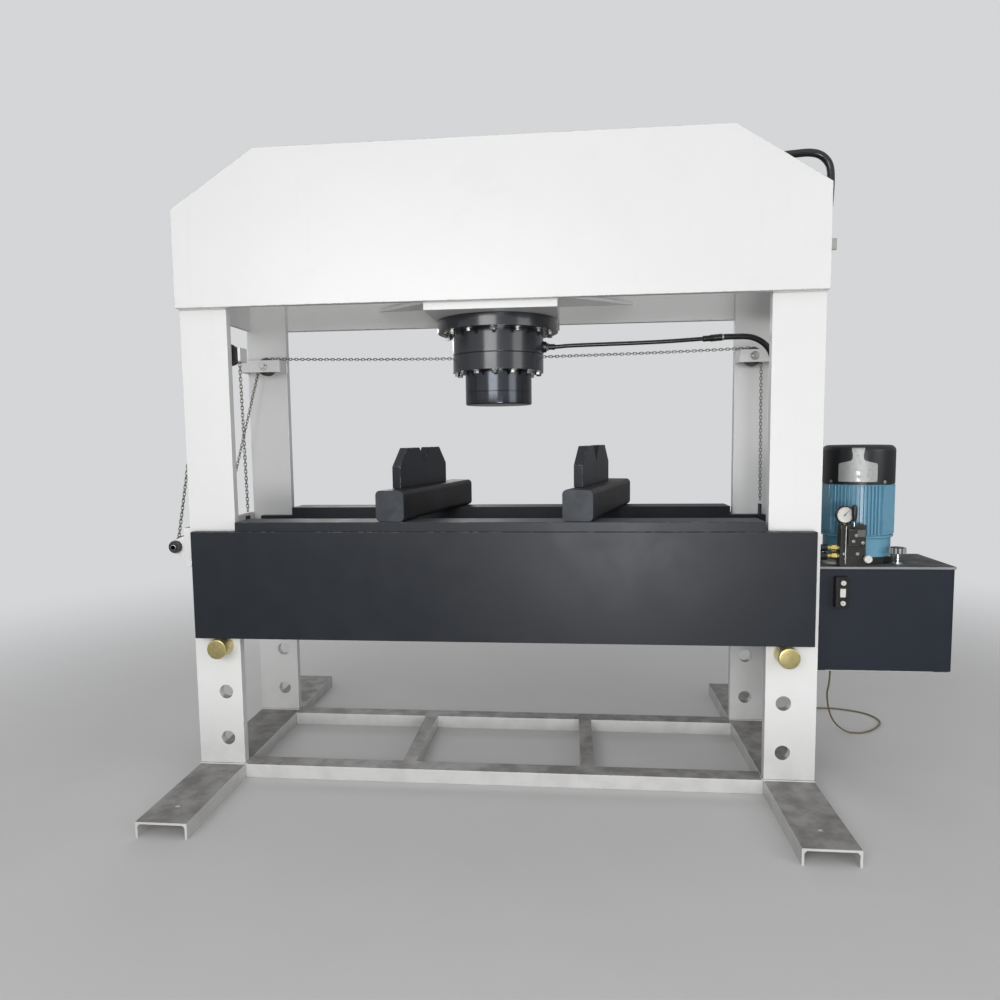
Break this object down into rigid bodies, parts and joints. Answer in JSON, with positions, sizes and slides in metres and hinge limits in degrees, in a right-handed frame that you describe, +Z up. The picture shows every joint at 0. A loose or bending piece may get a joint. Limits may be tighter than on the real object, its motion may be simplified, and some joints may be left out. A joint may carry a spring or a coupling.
{
  "type": "hydraulic press",
  "caption": "Wide four-column hydraulic press with a central ram, a pin-supported bed raised by chains, V plates on bars and a side-hung power pack with a vertical motor.",
  "frame": {"origin": "on the floor under the middle of the whole machine, power pack and winding shaft included", "axes": "+X towards the operator's right, where the power pack hangs; +Y from the front to the back; +Z up"},
  "size_m": [4.096, 2.071, 3.27],
  "materials": {
    "frame_white": "off-white satin enamel",
    "bed_slate": "dark slate satin enamel",
    "cylinder_black": "blue-black gloss enamel",
    "ram_chrome": "hard chrome, ground",
    "bar_dark": "dark grey satin enamel",
    "pin_yellow_zinc": "yellow-passivated zinc on steel",
    "chain_zinc": "zinc-plated steel",
    "dark_steel": "blackened steel",
    "tank_slate": "slate-blue satin enamel",
    "motor_teal": "teal enamel on a casting",
    "cowl_black": "black satin enamel",
    "valve_black": "black phosphate",
    "chrome": "bright chrome",
    "plastic_black": "black moulded plastic",
    "button_pale": "pale moulded plastic",
    "hose_black": "smooth black rubber",
    "rotor_steel": "turned steel",
    "cable_olive": "dusty olive cable sheath"
  },
  "bodies": {
    "frame": {"column_front_left": "frame_white", "column_front_right": "frame_white", "column_rear_left": "frame_white", "column_rear_right": "frame_white", "foot_left": "frame_white", "foot_right": "frame_white", "base_frame": "frame_white", "crown_front_plate": "frame_white", "crown_rear_plate": "frame_white", "cylinder_mount": "frame_white", "bracket_front_left": "frame_white", "bracket_rear_left": "frame_white", "bracket_rear_right": "frame_white", "winch_bar": "frame_white", "pack_support": "frame_white", "cylinder_barrel": "cylinder_black", "cylinder_flange": "cylinder_black", "cylinder_gland": "cylinder_black", "chain_left": "chain_zinc", "chain_right": "chain_zinc", "chain_front": "chain_zinc", "chain_cross": "chain_zinc", "oil_tank": "tank_slate", "bell_housing": "motor_teal", "motor_body": "motor_teal", "fan_cowl": "cowl_black", "valve_block": "valve_black", "gauge_case": "chrome", "button_box": "plastic_black", "supply_plug": "plastic_black", "pressure_line": "hose_black", "return_hose": "hose_black", "supply_cable": "cable_olive", "cable_coil": "cable_olive"},
    "bed": {"bed_front_outer_plate": "bed_slate", "bed_front_inner_plate": "bed_slate", "bed_front_flat": "bed_slate", "bed_rear_outer_plate": "bed_slate", "bed_rear_inner_plate": "bed_slate", "bar_left": "bar_dark", "bar_right": "bar_dark", "v_plate_left": "bar_dark", "v_plate_right": "bar_dark"},
    "ram": {"ram": "ram_chrome"},
    "pin_front_left": {"pin_front_left": "pin_yellow_zinc"},
    "pin_front_right": {"pin_front_right": "pin_yellow_zinc"},
    "pin_rear_left": {"pin_rear_left": "pin_yellow_zinc"},
    "pin_rear_right": {"pin_rear_right": "pin_yellow_zinc"},
    "sheave_front_inner": {"sheave_front_inner": "dark_steel"},
    "sheave_front_outer": {"sheave_front_outer": "dark_steel"},
    "sheave_rear_left": {"sheave_rear_left": "dark_steel"},
    "sheave_rear_right": {"sheave_rear_right": "dark_steel"},
    "winding_shaft": {"winding_shaft": "dark_steel"},
    "motor_rotor": {"motor_rotor": "rotor_steel"},
    "relief_knob": {"relief_knob": "chrome"},
    "filler_breather": {"filler_breather": "chrome"},
    "gauge_needle": {"gauge_needle": "plastic_black"},
    "valve_lever": {"valve_lever": "plastic_black"},
    "start_button": {"start_button": "button_pale"},
    "stop_button": {"stop_button": "button_pale"}
  },
  "joints": [
    {"name": "ram_slide", "type": "slide", "parent": "frame", "child": "ram", "axis": [0, 0, -1], "range_m": [0, 0.4]},
    {"name": "bed_lift", "type": "slide", "parent": "frame", "child": "bed", "axis": [0, 0, 1], "range_m": [0, 0.2555], "deforming": ["chain_left", "chain_right"]},
    {"name": "sheave_front_inner_turn", "type": "hinge", "parent": "frame", "child": "sheave_front_inner", "pos_m": [-1.695, -0.3292, 2.27], "axis": [0, -1, 0], "range_deg": [-10, 310]},
    {"name": "sheave_front_outer_turn", "type": "hinge", "parent": "frame", "child": "sheave_front_outer", "pos_m": [-1.806, -0.3292, 2.27], "axis": [0, -1, 0], "range_deg": [-10, 310]},
    {"name": "sheave_rear_left_turn", "type": "hinge", "parent": "frame", "child": "sheave_rear_left", "pos_m": [-1.769, 0.3222, 2.27], "axis": [0, -1, 0], "range_deg": [-10, 310]},
    {"name": "sheave_rear_right_turn", "type": "hinge", "parent": "frame", "child": "sheave_rear_right", "pos_m": [1.147, 0.3222, 2.27], "axis": [0, -1, 0], "range_deg": [-10, 310]},
    {"name": "winding_shaft_turn", "type": "hinge", "parent": "frame", "child": "winding_shaft", "pos_m": [-2, -0.4195, 1.262], "axis": [0, -1, 0], "range_deg": [-10, 430]},
    {"name": "pin_front_left_slide", "type": "slide", "parent": "frame", "child": "pin_front_left", "axis": [0, -1, 0], "range_m": [0, 0.14]},
    {"name": "pin_front_right_slide", "type": "slide", "parent": "frame", "child": "pin_front_right", "axis": [0, -1, 0], "range_m": [0, 0.14]},
    {"name": "pin_rear_left_slide", "type": "slide", "parent": "frame", "child": "pin_rear_left", "axis": [0, 1, 0], "range_m": [0, 0.14]},
    {"name": "pin_rear_right_slide", "type": "slide", "parent": "frame", "child": "pin_rear_right", "axis": [0, 1, 0], "range_m": [0, 0.14]},
    {"name": "valve_lever_tilt", "type": "hinge", "parent": "frame", "child": "valve_lever", "pos_m": [1.536, -0.2275, 1.3356], "axis": [0, 1, 0], "range_deg": [-14, 14]},
    {"name": "gauge_needle_turn", "type": "hinge", "parent": "frame", "child": "gauge_needle", "pos_m": [1.5, -0.202, 1.403], "axis": [0, 1, 0], "range_deg": [-177, 93]},
    {"name": "relief_knob_turn", "type": "hinge", "parent": "frame", "child": "relief_knob", "pos_m": [1.604, -0.2488, 1.178], "axis": [0, 1, 0], "range_deg": [-180, 180]},
    {"name": "filler_cap_turn", "type": "hinge", "parent": "frame", "child": "filler_breather", "pos_m": [1.786, -0.1495, 1.14], "axis": [0, 0, 1], "range_deg": [0, 90]},
    {"name": "motor_spin", "type": "hinge", "parent": "frame", "child": "motor_rotor", "pos_m": [1.642, 0.0255, 1.4], "axis": [0, 0, 1], "continuous": true},
    {"name": "start_button_press", "type": "slide", "parent": "frame", "child": "start_button", "axis": [0, 1, 0], "range_m": [0, 0.005], "stiffness_N_per_m": 600, "springref_m": -0.003},
    {"name": "stop_button_press", "type": "slide", "parent": "frame", "child": "stop_button", "axis": [0, 1, 0], "range_m": [0, 0.005], "stiffness_N_per_m": 600, "springref_m": -0.003}
  ],
  "couplings": [
    {"joint": "sheave_front_inner_turn", "follows": "bed_lift", "rad_per_m": 19.96},
    {"joint": "sheave_front_outer_turn", "follows": "bed_lift", "rad_per_m": 19.96},
    {"joint": "sheave_rear_left_turn", "follows": "bed_lift", "rad_per_m": 19.96},
    {"joint": "sheave_rear_right_turn", "follows": "bed_lift", "rad_per_m": 19.96},
    {"joint": "winding_shaft_turn", "follows": "bed_lift", "rad_per_m": 27.548}
  ]
}
